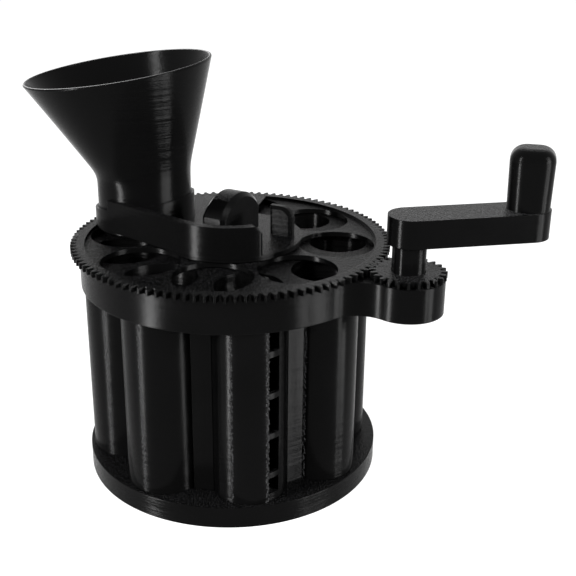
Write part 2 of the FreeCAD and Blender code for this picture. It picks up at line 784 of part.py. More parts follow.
def drive_pinion():
    """The small gear, with a square bore for the shaft."""
    phase = size("pinion_angle") + 180 + 180 / size("pinion_teeth") - size("crank_angle")
    outline = gear_outline(int(size("pinion_teeth")), size("gear_module"), size("backlash"), phase)
    blank = shaped("pinion_blank", at_pinion(prism(outline, 0, size("tooth_height")), TOOTH_BOTTOM))
    bore = square_bar(size("bar_fit"), TOOTH_BOTTOM, size("tooth_height"))
    return cut("drive_pinion", blank, [shaped("pinion_bore", bore)])


def crank_shaft():
    """A round journal below and a square bar above."""
    journal = cylinder("shaft_journal", "journal_radius", f"{TOOTH_BOTTOM} - {RING_BOTTOM}",
                       PINION_X, PINION_Y, RING_BOTTOM)
    bar = square_bar(0, TOOTH_BOTTOM, size("bar_rise + socket_depth - socket_play"))
    return fuse("crank_shaft", [journal, shaped("shaft_bar", bar)])


def shaft_sleeve():
    """The bearing sleeve in the side arm, above the retainer's recess."""
    inner = "journal_radius + shaft_fit"
    bottom = f"{RING_BOTTOM} + {RETAINER_RECESS}"
    return sleeve("shaft_sleeve", f"{inner} + sleeve_wall", inner, f"{RING_TOP} - ({bottom})",
                  PINION_X, PINION_Y, bottom)


def shaft_retainer():
    """The collar in the arm's recess that keeps the shaft from lifting out."""
    return sleeve("shaft_retainer", "retainer_radius", "journal_radius + fixed_fit", "retainer_thickness",
                  PINION_X, PINION_Y, f"{RING_BOTTOM} + journal_tail")


def crank_arm():
    """The flat arm with round ends, the shaft's socket and the grip pin's stepped hole."""
    radius = size("crank_radius")
    height = size("crank_height")
    far = FreeCAD.Vector(size("crank_throw"), 0, 0)
    edges = [
        arc(point(radius, 90), point(radius, 180), point(radius, 270)),
        line(point(radius, 270), far + point(radius, 270)),
        arc(far + point(radius, 270), far + point(radius, 0), far + point(radius, 90)),
        line(far + point(radius, 90), point(radius, 90)),
    ]
    hole = Part.makeCylinder(size("pin_radius + fixed_fit"), height, far)
    step = Part.makeCylinder(size("pin_head_radius + fixed_fit"), size("pin_head_depth"), far)
    arm = prism(edges, 0, height).cut(hole).cut(step)
    socket = square_bar(size("bar_fit"), CRANK_BOTTOM, size("socket_depth"))
    return shaped("crank_arm", at_pinion(arm, CRANK_BOTTOM).cut(socket))


def grip_middle():
    """The grip's axis."""
    return point(size(CENTRES), size("pinion_angle")) + point(size("crank_throw"), size("crank_angle"))


def crank_grip():
    """The square grip, a little wider at the top, well rounded and bored for its pin."""
    length = size("grip_length")
    turn = size("grip_angle")
    corner = size("grip_corner")
    foot = Part.Wire(rounded_outline(square(size("grip_width"), turn), corner))
    head = Part.Wire(rounded_outline(square(size("grip_top_width"), turn), corner))
    head.translate(FreeCAD.Vector(0, 0, length))
    blank = Part.makeLoft([foot, head], True, True)
    top_edges = [edge for edge in blank.Edges if edge.BoundBox.ZMin > length - 1e-6]
    blank = blank.makeFillet(size("grip_crown"), top_edges)
    bore = Part.makeCylinder(size("pin_radius + shaft_fit"), size("pin_in_grip + pin_end_gap"))
    grip = blank.cut(bore)
    grip.translate(grip_middle() + FreeCAD.Vector(0, 0, size(GRIP_BOTTOM)))
    return shaped("crank_grip", grip)


def grip_pin():
    """The pin the grip turns on, its head let into the arm from below."""
    middle = grip_middle()
    head_bottom = size(f"{CRANK_BOTTOM} + pin_head_depth - pin_head_height")
    shank_bottom = size(f"{CRANK_BOTTOM} + pin_head_depth")
    shank_top = size(f"{GRIP_BOTTOM} + pin_in_grip")
    head = Part.makeCylinder(size("pin_head_radius"), size("pin_head_height"),
                             middle + FreeCAD.Vector(0, 0, head_bottom))
    shank = Part.makeCylinder(size("pin_radius"), shank_top - shank_bottom,
                              middle + FreeCAD.Vector(0, 0, shank_bottom))
    return shaped("grip_pin", head.fuse(shank).removeSplitter())


makers = [
    base_disc,
    centre_column,
    tube_core,
    ring_housing,
    sorting_plate,
    rotor_disc,
    rotor_bush,
    cover_plate,
    hopper_arm,
    funnel,
    spindle_bolt,
    bolt_washer,
    clamp_knob,
    knob_insert,
    drive_pinion,
    crank_shaft,
    shaft_sleeve,
    shaft_retainer,
    crank_arm,
    crank_grip,
    grip_pin,
]
nodes = [maker() for maker in makers]
nodes += [slotted_tube(coin) if coin == FRONT_TUBE else coin_tube(coin) for coin in COINS]
doc.recompute()

for thing in doc.Objects:
    if "Invalid" in thing.State or "Error" in thing.State:
        raise RuntimeError(f"{thing.Name} failed: {thing.State}")
for node in nodes:
    if node.Shape.isNull() or not node.Shape.isValid():
        raise RuntimeError(f"{node.Name} has no valid shape")
for node in nodes:
    name = node.Name.replace("_slotted", "")
    node.Label = name
    node.Shape.exportStep(f"parts/{name}.step")
    print(name, "solids", len(node.Shape.Solids), "volume", round(node.Shape.Volume, 1))
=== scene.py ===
# %% [markdown]
# # A hand-cranked coin sorter, printed in black plastic
# The whole machine is near-black, so almost nothing of it is seen by its own colour. What the eye
# reads is reflection: bright bands down the tubes, pale rims at grazing angles, and fine lines left
# by the printer. This lesson loads the measured model, sets a camera and a small studio, and then
# gives each surface the relief that a printed part has.

# %% Load the measured model
import math

import bpy
from mathutils import Matrix, Vector


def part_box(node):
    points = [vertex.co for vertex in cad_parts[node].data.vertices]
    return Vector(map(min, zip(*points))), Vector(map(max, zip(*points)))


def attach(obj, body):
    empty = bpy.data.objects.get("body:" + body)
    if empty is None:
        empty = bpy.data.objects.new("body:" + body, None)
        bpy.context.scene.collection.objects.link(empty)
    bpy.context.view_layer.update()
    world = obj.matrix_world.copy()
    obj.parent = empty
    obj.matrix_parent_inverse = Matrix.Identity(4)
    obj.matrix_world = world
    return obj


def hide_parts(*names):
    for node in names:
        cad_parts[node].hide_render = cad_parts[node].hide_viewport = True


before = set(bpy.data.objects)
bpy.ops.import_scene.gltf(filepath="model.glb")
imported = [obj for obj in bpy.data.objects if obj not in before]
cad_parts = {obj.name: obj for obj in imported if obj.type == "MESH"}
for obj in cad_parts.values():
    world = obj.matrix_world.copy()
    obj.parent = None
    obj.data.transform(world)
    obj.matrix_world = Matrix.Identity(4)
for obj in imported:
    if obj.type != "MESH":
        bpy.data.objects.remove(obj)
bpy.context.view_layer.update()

# %% [markdown]
# ## The camera
# The camera stands in front of the sorter and a little above it. Its place and angles come from the
# ellipses of the base, the ring and the disc, so they are kept as measured: a long lens, tilted down,
# turned slightly to the right and rolled by half a degree. A camera looks along its own -Z, so its
# three axes are built first and put in a matrix.

# %% Camera
LENS_MM = 62.61
SENSOR_MM = 36.0
CAMERA_PLACE = Vector((0.0, -0.34186, 0.20475))
CAMERA_PITCH = math.radians(22.017)
CAMERA_YAW = math.radians(3.448)
CAMERA_ROLL = math.radians(0.607)


def aim_camera():
    """A camera object whose axes come from pitch, yaw and roll."""
    ahead = Vector((math.sin(CAMERA_YAW) * math.cos(CAMERA_PITCH),
                    math.cos(CAMERA_YAW) * math.cos(CAMERA_PITCH),
                    -math.sin(CAMERA_PITCH)))
    level = ahead.cross(Vector((0, 0, 1))).normalized()
    upright = level.cross(ahead)
    right = level * math.cos(CAMERA_ROLL) + upright * math.sin(CAMERA_ROLL)
    up = upright * math.cos(CAMERA_ROLL) - level * math.sin(CAMERA_ROLL)
    lens = bpy.data.cameras.new("photo_camera")
    lens.lens = LENS_MM
    lens.sensor_width = SENSOR_MM
    camera = bpy.data.objects.new("photo_camera", lens)
    bpy.context.scene.collection.objects.link(camera)
    axes = Matrix((right, up, -ahead)).transposed().to_4x4()
    camera.matrix_world = Matrix.Translation(CAMERA_PLACE) @ axes
    return camera


bpy.context.scene.camera = aim_camera()
bpy.context.scene.view_settings.view_transform = "Standard"
print("camera at", tuple(round(value, 3) for value in CAMERA_PLACE), "lens", LENS_MM, "mm")

# %% [markdown]
# ## Writing node maths as Python
# A tree of nodes is easier to read as a formula than as a list. `Wire` wraps one output socket. Adding
# or multiplying wires makes the Math node and returns its output as another wire, so `1 - mask * 0.5`
# is a legal line. Every other node comes from `add`, which takes the node's type, its settings, and
# the values or wires that go into its sockets.

# %% Wires
class Wire:
    """One value in a tree of nodes. Arithmetic on it adds Math nodes."""

    def __init__(self, tree, socket):
        self.tree = tree
        self.socket = socket

    def pick(self, name):
        """Another output of the node that this wire comes from."""
        return Wire(self.tree, self.socket.node.outputs[name])

    def math(self, operation, *others):
        """A Math node with this wire first."""
        return add(self.tree, "ShaderNodeMath", {"operation": operation}, dict(enumerate((self, *others))))

    def math_after(self, operation, first):
        """A Math node with this wire second, as in 1 - mask."""
        return add(self.tree, "ShaderNodeMath", {"operation": operation}, {0: first, 1: self})

    def __add__(self, other):
        return self.math("ADD", other)

    def __mul__(self, other):
        return self.math("MULTIPLY", other)

    def __sub__(self, other):
        return self.math("SUBTRACT", other)

    def __truediv__(self, other):
        return self.math("DIVIDE", other)

    def __rsub__(self, other):
        return self.math_after("SUBTRACT", other)

    def __rtruediv__(self, other):
        return self.math_after("DIVIDE", other)

    __radd__ = __add__
    __rmul__ = __mul__


def add(tree, kind, settings=None, values=None, output=0):
    """Add a node: its settings first, then its sockets. A list is wired to a socket that takes many."""
    made = tree.nodes.new(kind)
    for name, setting in (settings or {}).items():
        setattr(made, name, setting)
    for key, value in (values or {}).items():
        if isinstance(value, (Wire, list)):
            for wire in value if isinstance(value, list) else [value]:
                tree.links.new(wire.socket, made.inputs[key])
        else:
            made.inputs[key].default_value = value
    return Wire(tree, made.outputs[output]) if made.outputs else None


print("wire operators:", [name for name in vars(Wire) if name.startswith("__r")])

# %% [markdown]
# Three things are needed again and again: a ramp from 0 to 1, a place or direction as three separate
# wires, and a material with an empty tree.

# %% Small helpers
def stretch(tree, value, low, high):
    """0 below the low value, 1 above the high one, and even in between."""
    limits = {"Value": value, "From Min": low, "From Max": high, "To Min": 0.0, "To Max": 1.0}
    return add(tree, "ShaderNodeMapRange", {"clamp": True}, limits)


def split(place):
    """A place or a direction as its three parts."""
    x = add(place.tree, "ShaderNodeSeparateXYZ", None, {0: place})
    return x, x.pick("Y"), x.pick("Z")


def empty_material(name):
    """A material and its bare tree."""
    material = bpy.data.materials.new(name)
    material.use_nodes = True
    material.node_tree.nodes.clear()
    return material, material.node_tree


print("helpers:", [helper.__name__ for helper in (stretch, split, empty_material)])

# %% [markdown]
# ## A plain studio
# A black shiny thing shows its surroundings, so the studio is most of the picture. The room is white
# where the camera or a reflection sees it, and much softer as a light. A plain white sky would light
# the black plastic grey, which is why the two are kept apart by the kind of ray.

# %% Room
ROOM_LIGHT = 0.25


def seen_directly(tree):
    """1 for camera, glossy and transmission rays, 0 for the rays that only light things."""
    camera = add(tree, "ShaderNodeLightPath", output="Is Camera Ray")
    shiny = camera.math("MAXIMUM", camera.pick("Is Glossy Ray"))
    return shiny.math("MAXIMUM", camera.pick("Is Transmission Ray"))


def light_room():
    """A white world: full white where it is seen, softer as a light."""
    world = bpy.data.worlds.new("white_room")
    bpy.context.scene.world = world
    world.use_nodes = True
    tree = world.node_tree
    tree.nodes.clear()
    strength = seen_directly(tree) * (1.0 - ROOM_LIGHT) + ROOM_LIGHT
    room = add(tree, "ShaderNodeBackground", None, {"Color": (1, 1, 1, 1), "Strength": strength})
    add(tree, "ShaderNodeOutputWorld", None, {"Surface": room})


light_room()
print("room light", ROOM_LIGHT)

# %% [markdown]
# The floor is pale paper that takes a soft shadow. Far from the panels paper would turn grey, so where
# it is seen straight on, most of it is an even white, and the rest is the lit paper with its shadow.

# %% Floor
FLOOR_RADIUS = 2.0
FLOOR_CORNERS = 64
FLOOR_COLOR = (0.86, 0.86, 0.86, 1.0)
FLOOR_WHITE = 1.3
WHITE_SHARE = 0.7


def lay_floor():
    """A pale round floor that the sorter stands on."""
    mesh = bpy.data.meshes.new("floor")
    around = [2 * math.pi * step / FLOOR_CORNERS for step in range(FLOOR_CORNERS)]
    corners = [(FLOOR_RADIUS * math.cos(turn), FLOOR_RADIUS * math.sin(turn), 0.0) for turn in around]
    mesh.from_pydata(corners, [], [list(range(FLOOR_CORNERS))])
    floor = bpy.data.objects.new("floor", mesh)
    bpy.context.scene.collection.objects.link(floor)
    material, tree = empty_material("white_paper")
    paper = add(tree, "ShaderNodeBsdfDiffuse", None, {"Color": FLOOR_COLOR})
    glow = add(tree, "ShaderNodeEmission", None, {"Strength": FLOOR_WHITE})
    both = add(tree, "ShaderNodeMixShader", None, {0: seen_directly(tree) * WHITE_SHARE, 1: paper, 2: glow})
    add(tree, "ShaderNodeOutputMaterial", None, {"Surface": both})
    mesh.materials.append(material)
    return floor


lay_floor()
print("floor", 2 * FLOOR_RADIUS, "m across")

# %% [markdown]
# Tall narrow panels stand low at the left and the right. Each upright round tube shows them as bright
# bands, and a narrower panel gives a narrower band. A second panel on the right stands nearer to the
# front, because the tubes in the middle hide the first one from their neighbours.

# %% Panels
PANEL_RISE = math.radians(22)
PANEL_DISTANCE = 1.2
PANEL_HEIGHT = 0.75
PANEL_AIM = Vector((0.0, 0.0, 0.06))


def hang_panel(name, around, width, watts):
    """A soft panel at an angle round from the front, facing the sorter's middle."""
    turn = math.radians(around)
    outward = Vector((math.sin(turn) * math.cos(PANEL_RISE),
                      -math.cos(turn) * math.cos(PANEL_RISE),
                      math.sin(PANEL_RISE)))
    lamp = bpy.data.lights.new(name, "AREA")
    lamp.shape = "RECTANGLE"
    lamp.size = width
    lamp.size_y = PANEL_HEIGHT
    lamp.energy = watts
    panel = bpy.data.objects.new(name, lamp)
    bpy.context.scene.collection.objects.link(panel)
    panel.location = PANEL_AIM + outward * PANEL_DISTANCE
    panel.rotation_euler = outward.to_track_quat("Z", "Y").to_euler()


hang_panel("left_panel", around=-60, width=0.17, watts=32.0)
hang_panel("right_panel", around=65, width=0.26, watts=14.0)
hang_panel("right_inner_panel", around=52, width=0.14, watts=8.0)
print("panels", {lamp.name: lamp.energy for lamp in bpy.data.lights})

# %% [markdown]
# ## The relief of a print
# Melted plastic laid in 0.2 mm layers leaves a ridge at every layer. Each ridge is rounded, so an
# upright wall sends light up and down far more than sideways, and that stretches the panels into
# bands that run the whole height of a tube. Real ridges would be millions of faces. Instead the normal
# leans up or down by where the point is within its layer: the upper part leans up, the lower part
# droops a little, and no two layers lean alike. Flat tops are filled with parallel beads, so there the
# normal leans across the beads. A Bevel node rounds the sharp edges first.

# %% Layer ridges and beads
LAYER = 0.0002
BEAD = 0.00042
DROOPING_SHARE = 0.4
DROOP = 0.1
LAYER_CHANGE = 0.3
FLAT_FROM = 0.9
EDGE_SAMPLES = 6


def layer_lean(tree, z, ridge):
    """How far the normal leans up within each layer of a wall."""
    layer = z / LAYER
    upper = layer.math("FRACT").math("GREATER_THAN", DROOPING_SHARE)
    chance = add(tree, "ShaderNodeTexWhiteNoise", {"noise_dimensions": "1D"}, {"W": layer.math("FLOOR")})
    return (upper * (ridge + DROOP) - DROOP) * (chance * LAYER_CHANGE + (1 - LAYER_CHANGE / 2))


def ridged_normal(tree, place, bead_turn, ridge, bead_lean, edge_radius):
    """The leaning normal, and a mask that is 1 on flat tops."""
    x, y, z = split(place)
    rounded = add(tree, "ShaderNodeBevel", {"samples": EDGE_SAMPLES}, {"Radius": edge_radius})
    steep = split(rounded)[2].math("ABSOLUTE")
    on_top = steep.math("GREATER_THAN", FLAT_FROM)

    turn = math.radians(bead_turn)
    across = x * math.cos(turn) + y * math.sin(turn)
    bead = (across / BEAD).math("FRACT") * 2 - 1
    top_lean = bead * on_top * bead_lean
    wall_lean = layer_lean(tree, z, ridge) * (1 - on_top) * (1 - steep)
    offset = add(tree, "ShaderNodeCombineXYZ", None,
                 {0: top_lean * math.cos(turn), 1: top_lean * math.sin(turn), 2: wall_lean})
    leaned = add(tree, "ShaderNodeVectorMath", {"operation": "ADD"}, {0: rounded, 1: offset})
    return add(tree, "ShaderNodeVectorMath", {"operation": "NORMALIZE"}, {0: leaned}), on_top


print("layer", LAYER * 1000, "mm, bead", BEAD * 1000, "mm")

# %% [markdown]
# ## Printed plastic
# The plastic itself is satin black. Over its ridges it has a fine grain, which breaks the bands up,
# and pits on its tops, where the nozzle has dragged. Pale specks are painted into the colour of flat
# tops as painted glints, standing in for light sparkling off the bead ends. Soft blotches change the
# shade and the shine from one area to the next. The gloss is a plain number on the shader's own socket,
# set low because ridges that lean up catch more of the panels than a smooth wall would.

# %% Printed plastic
GLOSS = 0.046
EDGE_RADIUS = 0.00035
BEAD_LEAN = 0.16
RIDGE = 0.42
GRAIN_SQUASH = (1.0, 1.0, 4.0)
PITS = 6.0
TOP_GRAIN = 0.4
BLOTCH_SHINE = 0.14
COOLNESS = 1.03
# Where the painted glints on the tops start and where they reach full strength.
PAINTED_GLINT_FROM = 0.5
PAINTED_GLINT_FULL = 0.72


def printed_plastic(name, bead_turn, color=0.0009, painted_glints=0.018, roughness=0.18):
    """Black plastic with layer ridges on its walls, beads on its flat tops, and painted glints in the colour
    of the tops.
    """
    material, tree = empty_material(name)
    place = add(tree, "ShaderNodeTexCoord", output="Object")
    normal, on_top = ridged_normal(tree, place, bead_turn, RIDGE, BEAD_LEAN, EDGE_RADIUS)

    squashed = add(tree, "ShaderNodeVectorMath", {"operation": "MULTIPLY"}, {0: place, 1: GRAIN_SQUASH})
    grain = add(tree, "ShaderNodeTexNoise", None, {"Vector": squashed, "Scale": 800.0, "Detail": 3.0}, "Fac")
    pits = add(tree, "ShaderNodeTexVoronoi", None, {"Vector": place, "Scale": 1700.0}, "Distance")
    relief = grain * (1 - on_top * (1 - TOP_GRAIN)) + pits * on_top * PITS
    skin = add(tree, "ShaderNodeBump", None,
               {"Strength": 0.3, "Distance": 0.00009, "Height": relief, "Normal": normal})

    blotch = add(tree, "ShaderNodeTexNoise", None, {"Vector": place, "Scale": 45.0, "Detail": 3.0}, "Fac")
    # Painted glints: pale specks added to the base colour of flat tops only, standing in for light sparkling
    # off the bead ends.
    painted_glint_noise = add(tree, "ShaderNodeTexNoise", None, {"Vector": place, "Scale": 2300.0, "Detail": 1.0}, "Fac")
    painted_glint = stretch(tree, painted_glint_noise, PAINTED_GLINT_FROM, PAINTED_GLINT_FULL) * on_top
    shade = blotch * color + color / 2 + painted_glint * painted_glints
    tint = add(tree, "ShaderNodeCombineColor", None, {0: shade, 1: shade, 2: shade * COOLNESS})
    plastic = add(tree, "ShaderNodeBsdfPrincipled", None, {
        "Base Color": tint,
        "Roughness": blotch * BLOTCH_SHINE + (roughness - BLOTCH_SHINE / 2),
        "Specular IOR Level": GLOSS,
        "Normal": skin,
    })
    add(tree, "ShaderNodeOutputMaterial", None, {"Surface": plastic})
    return material


black = printed_plastic("black_print", 45.0)
crossed = printed_plastic("black_print_crossed", -45.0)
# This finish paints stronger pale glints into the colour of the tops.
painted_glint_top = printed_plastic("black_print_rough_top", -45.0, painted_glints=0.05)
print("printed plastics", [material.name for material in (black, crossed, painted_glint_top)])

# %% [markdown]
# ## Moulded plastic
# The bearings inside are bought parts, and moulded plastic has no layers. It has a fine skin like
# orange peel, so one noise moves its shade, its shine and its normal together.

# %% Moulded plastic
PEEL_SHADE = 0.4
PEEL_SHINE = 0.1


def smooth_plastic(name, color, roughness):
    """Plastic with a fine orange-peel skin."""
    material, tree = empty_material(name)
    place = add(tree, "ShaderNodeTexCoord", output="Object")
    peel = add(tree, "ShaderNodeTexNoise", None, {"Vector": place, "Scale": 1500.0, "Detail": 2.0}, "Fac")
    skin = add(tree, "ShaderNodeBump", None, {"Strength": 0.2, "Distance": 0.00005, "Height": peel})
    shade = peel * color * PEEL_SHADE + color * (1 - PEEL_SHADE / 2)
    tint = add(tree, "ShaderNodeCombineColor", None, {0: shade, 1: shade, 2: shade})
    plastic = add(tree, "ShaderNodeBsdfPrincipled", None, {
        "Base Color": tint,
        "Roughness": peel * PEEL_SHINE + roughness,
        "Specular IOR Level": 0.3,
        "Normal": skin,
    })
    add(tree, "ShaderNodeOutputMaterial", None, {"Surface": plastic})
    return material


bearing = smooth_plastic("bearing_plastic", 0.03, 0.35)
print("moulded plastic", bearing.name)

# %% [markdown]
# ## Turned metal
# The bolt, the washer and the pin are zinc-plated steel, and the threaded insert is brass. Turning
# leaves fine rings across the axis. A noise that is squashed flat gives them: it changes quickly along
# the axis and hardly at all around it. Larger stains dull the colour and the shine in places.

# %% Metal
RING_SQUASH = (0.05, 0.05, 1.0)
STAIN_SHARE = 0.35
STAIN_DARKNESS = 0.6
STAIN_DULLNESS = 0.2


def turned_metal(name, color, roughness):
    """Metal turned on a lathe: fine rings across the main axis and small dull stains."""
    material, tree = empty_material(name)
    place = add(tree, "ShaderNodeTexCoord", output="Object")
    squashed = add(tree, "ShaderNodeVectorMath", {"operation": "MULTIPLY"}, {0: place, 1: RING_SQUASH})
    rings = add(tree, "ShaderNodeTexNoise", None, {"Vector": squashed, "Scale": 9000.0, "Detail": 2.0}, "Fac")
    tooled = add(tree, "ShaderNodeBump", None, {"Strength": 0.15, "Distance": 0.00003, "Height": rings})
    stain = add(tree, "ShaderNodeTexNoise", None, {"Vector": place, "Scale": 260.0, "Detail": 4.0}, "Fac")
    stained = tuple(part * STAIN_DARKNESS for part in color)
    worn = add(tree, "ShaderNodeMix", {"data_type": "RGBA"},
               {"Factor": stain * STAIN_SHARE, "A": (*color, 1.0), "B": (*stained, 1.0)}, output="Result")
    metal = add(tree, "ShaderNodeBsdfPrincipled", None, {
        "Base Color": worn,
        "Metallic": 1.0,
        "Roughness": stain * STAIN_DULLNESS + roughness,
        "Normal": tooled,
    })
    add(tree, "ShaderNodeOutputMaterial", None, {"Surface": metal})
    return material


steel = turned_metal("zinc_plated_steel", (0.55, 0.56, 0.57), 0.25)
brass = turned_metal("brass", (0.72, 0.55, 0.25), 0.22)
print("metals", steel.name, brass.name)

# %% [markdown]
# ## Dressing the measured pieces
# Nearly every piece is the same black print. The disc was filled in the other direction, and the
# crank's arm and pinion get stronger painted glints on their tops.

# %% Dress
finishes = {
    "rotor_disc": crossed,
    "crank_arm": painted_glint_top,
    "drive_pinion": painted_glint_top,
    "spindle_bolt": steel,
    "bolt_washer": steel,
    "grip_pin": steel,
    "knob_insert": brass,
    "shaft_sleeve": bearing,
    "rotor_bush": bearing,
}
for node_name, node_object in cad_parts.items():
    node_object.data.materials.clear()
    node_object.data.materials.append(finishes.get(node_name, black))
print("dressed", len(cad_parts), "nodes,", len(finishes), "of them in a finish of their own")

# %% [markdown]
# ## Growing shapes from a rule
# The funnel, its lip, the slotted tube and the seams all follow simple rules, so Geometry Nodes make
# them. A tree gets one named input for each size. A starting grid, circle or block is then moved point
# by point with the same written-out maths that the shaders use, and the result is kept as a plain mesh.

# %% A small kit for geometry trees
SHARP_ANGLE = math.radians(35)


def size_tree(name, labels):
    """A geometry tree with one named input for each label, and the wires that carry them."""
    tree = bpy.data.node_groups.new(name, "GeometryNodeTree")
    tree.interface.new_socket("Geometry", in_out="OUTPUT", socket_type="NodeSocketGeometry")
    for label in labels:
        tree.interface.new_socket(label, in_out="INPUT", socket_type="NodeSocketFloat")
    first = add(tree, "NodeGroupInput")
    return tree, {label: first.pick(label) for label in labels}


def close_tree(tree, geometry, material):
    """End a tree with real meshes in one material."""
    real = add(tree, "GeometryNodeRealizeInstances", None, {"Geometry": geometry})
    dressed = add(tree, "GeometryNodeSetMaterial", None, {"Geometry": real, "Material": material})
    add(tree, "NodeGroupOutput", None, {"Geometry": dressed})


def grow(name, tree, sizes):
    """Run a tree with the given sizes and keep what it makes as a plain mesh."""
    piece = bpy.data.objects.new(name, bpy.data.meshes.new(name + "_start"))
    bpy.context.scene.collection.objects.link(piece)
    modifier = piece.modifiers.new("grow", "NODES")
    modifier.node_group = tree
    for socket in tree.interface.items_tree:
        if socket.in_out == "INPUT":
            modifier[socket.identifier] = float(sizes[socket.name])
    view = bpy.context.evaluated_depsgraph_get()
    grown = bpy.data.meshes.new_from_object(piece.evaluated_get(view), depsgraph=view)
    piece.modifiers.clear()
    piece.data = grown
    grown.shade_smooth()
    grown.set_sharp_from_angle(angle=SHARP_ANGLE)
    print(name, "faces", len(grown.polygons))
    return piece


def point_place(tree):
    """The place of the point being moved, as its three parts."""
    return split(add(tree, "GeometryNodeInputPosition"))


def moved(tree, geometry, x, y, z):
    """A geometry with each point moved to a place."""
    place = add(tree, "ShaderNodeCombineXYZ", None, {0: x, 1: y, 2: z})
    return add(tree, "GeometryNodeSetPosition", None, {"Geometry": geometry, "Position": place})


print("sharp edges from", round(math.degrees(SHARP_ANGLE)), "degrees")

# %% [markdown]
# ## The funnel
# It is printed in one go: an upright tube that opens into a leaning cone, with a slanted mouth and a
# thin round lip. A lathe can't make it, because the rings drift sideways and tip over as they rise.
# Instead a flat grid is rolled up: one side of it goes round the funnel, and the other side climbs the
# outside wall, goes over the lip and comes down the inside. The tube turns into the cone over a few
# millimetres, as in the photograph, by a smooth maximum in place of a sharp one. The mouth's place and
# size are worked out from the measured funnel's box.

# %% Funnel sizes
FUNNEL_TUBE_RADIUS = 0.0172
FUNNEL_WALL = 0.0012
MOUTH_OUT = 0.0096
TUBE_RISE = 0.0191
BEND_SLOPE = 0.09
MOUTH_SLOPE = 0.145
FALL_ANGLE = math.radians(176)
BEND_SOFTNESS = 0.09

funnel_low, funnel_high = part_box("funnel")
mouth_middle = [(low + high) / 2 for low, high in zip(funnel_low, funnel_high)]
mouth_radius = (funnel_high[0] - funnel_low[0]) / 2
mouth_level = funnel_high[2] - MOUTH_SLOPE * mouth_radius
funnel_away = math.atan2(mouth_middle[1], mouth_middle[0])
funnel_sizes = {
    "Foot X": mouth_middle[0] - MOUTH_OUT * math.cos(funnel_away),
    "Foot Y": mouth_middle[1] - MOUTH_OUT * math.sin(funnel_away),
    "Mouth X": mouth_middle[0],
    "Mouth Y": mouth_middle[1],
    "Tube Radius": FUNNEL_TUBE_RADIUS,
    "Mouth Radius": mouth_radius,
    "Wall": FUNNEL_WALL,
    "Bottom": funnel_low[2],
    "Tube Rise": TUBE_RISE,
    "Rise": mouth_level - funnel_low[2],
    "Bend Slope": BEND_SLOPE,
    "Mouth Slope": MOUTH_SLOPE,
    "Fall Angle": FALL_ANGLE,
    "Bend Softness": BEND_SOFTNESS,
}
print("funnel mouth", round(2000 * mouth_radius, 1), "mm across")

# %% [markdown]
# The grid's second side is a path from 0 to 1. It starts at the inner edge of the foot, crosses the
# foot's underside, climbs, turns over the lip at the middle and comes down to where it started, so a
# merge closes the wall.

# %% Funnel
GRID_AROUND = 145
GRID_CLIMB = 201
UNDERSIDE_ENDS = 0.02
LIP_STARTS = 0.49
LIP_ENDS = 0.51
MERGE_WITHIN = 0.00001


def downhill_part(given, x, y):
    """How far a point lies towards the low side of the funnel."""
    fall = given["Fall Angle"]
    return x * fall.math("COSINE") + y * fall.math("SINE")


def funnel_tree(material):
    """A grid rolled up into a leaning funnel with a wall and a round lip."""
    tree, given = size_tree("funnel_rule", funnel_sizes)
    counts = {"Size X": 1.0, "Size Y": 1.0, "Vertices X": GRID_AROUND, "Vertices Y": GRID_CLIMB}
    grid = add(tree, "GeometryNodeMeshGrid", None, counts)
    along, climb, _ = point_place(tree)
    turn = (along + 0.5) * (2 * math.pi)
    path = climb + 0.5
    underside = stretch(tree, path, 0.0, UNDERSIDE_ENDS)
    outside = stretch(tree, path, UNDERSIDE_ENDS, LIP_STARTS)
    over_lip = stretch(tree, path, LIP_STARTS, LIP_ENDS)
    inside = stretch(tree, path, LIP_ENDS, 1.0)

    height = outside - inside
    lip_turn = over_lip * math.pi
    inset = given["Wall"] * ((1 - underside) + (1 - lip_turn.math("COSINE")) * 0.5)
    lip = given["Wall"] * (lip_turn.math("SINE") - 1) * 0.5 * height
    bend = given["Tube Rise"] / given["Rise"]
    flare = (height - bend).math("SMOOTH_MAX", 0.0, given["Bend Softness"]) / (1 - bend)

    radius = given["Tube Radius"] + (given["Mouth Radius"] - given["Tube Radius"]) * flare - inset
    ring_x = radius * turn.math("COSINE")
    ring_y = radius * turn.math("SINE")
    slope = given["Bend Slope"] * (height / bend).math("MINIMUM", 1.0)
    slope = slope + (given["Mouth Slope"] - given["Bend Slope"]) * flare
    x = given["Foot X"] + (given["Mouth X"] - given["Foot X"]) * flare + ring_x
    y = given["Foot Y"] + (given["Mouth Y"] - given["Foot Y"]) * flare + ring_y
    z = given["Bottom"] + given["Rise"] * height - slope * downhill_part(given, ring_x, ring_y) + lip
    rolled = moved(tree, grid, x, y, z)
    closed = add(tree, "GeometryNodeMergeByDistance", None, {"Geometry": rolled, "Distance": MERGE_WITHIN})
    close_tree(tree, closed, material)
    return tree


funnel_piece = grow("printed_funnel", funnel_tree(black), funnel_sizes)
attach(funnel_piece, "funnel")
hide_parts("funnel")

# %% [markdown]
# ## The funnel's lip
# The last layer of the mouth is a single line of plastic, drawn out thin, and it looks paler than the
# rest. It follows the edge of the mouth, so it is a circle that is tipped like the mouth and given a
# small round section, as a wire is. The ring is a curve until its section turns it into a mesh.

# %% Funnel lip
LIP_RADIUS = 0.00045
LIP_STEPS = 160
LIP_SECTION_STEPS = 8

lip_sizes = {
    "Mouth X": mouth_middle[0],
    "Mouth Y": mouth_middle[1],
    "Mouth Radius": mouth_radius - FUNNEL_WALL / 2,
    "Level": mouth_level - LIP_RADIUS,
    "Mouth Slope": MOUTH_SLOPE,
    "Fall Angle": FALL_ANGLE,
    "Lip Radius": LIP_RADIUS,
}


def curve_circle(tree, steps, radius):
    """A round curve about the origin."""
    sizes = {"Resolution": steps, "Radius": radius}
    return add(tree, "GeometryNodeCurvePrimitiveCircle", {"mode": "RADIUS"}, sizes)


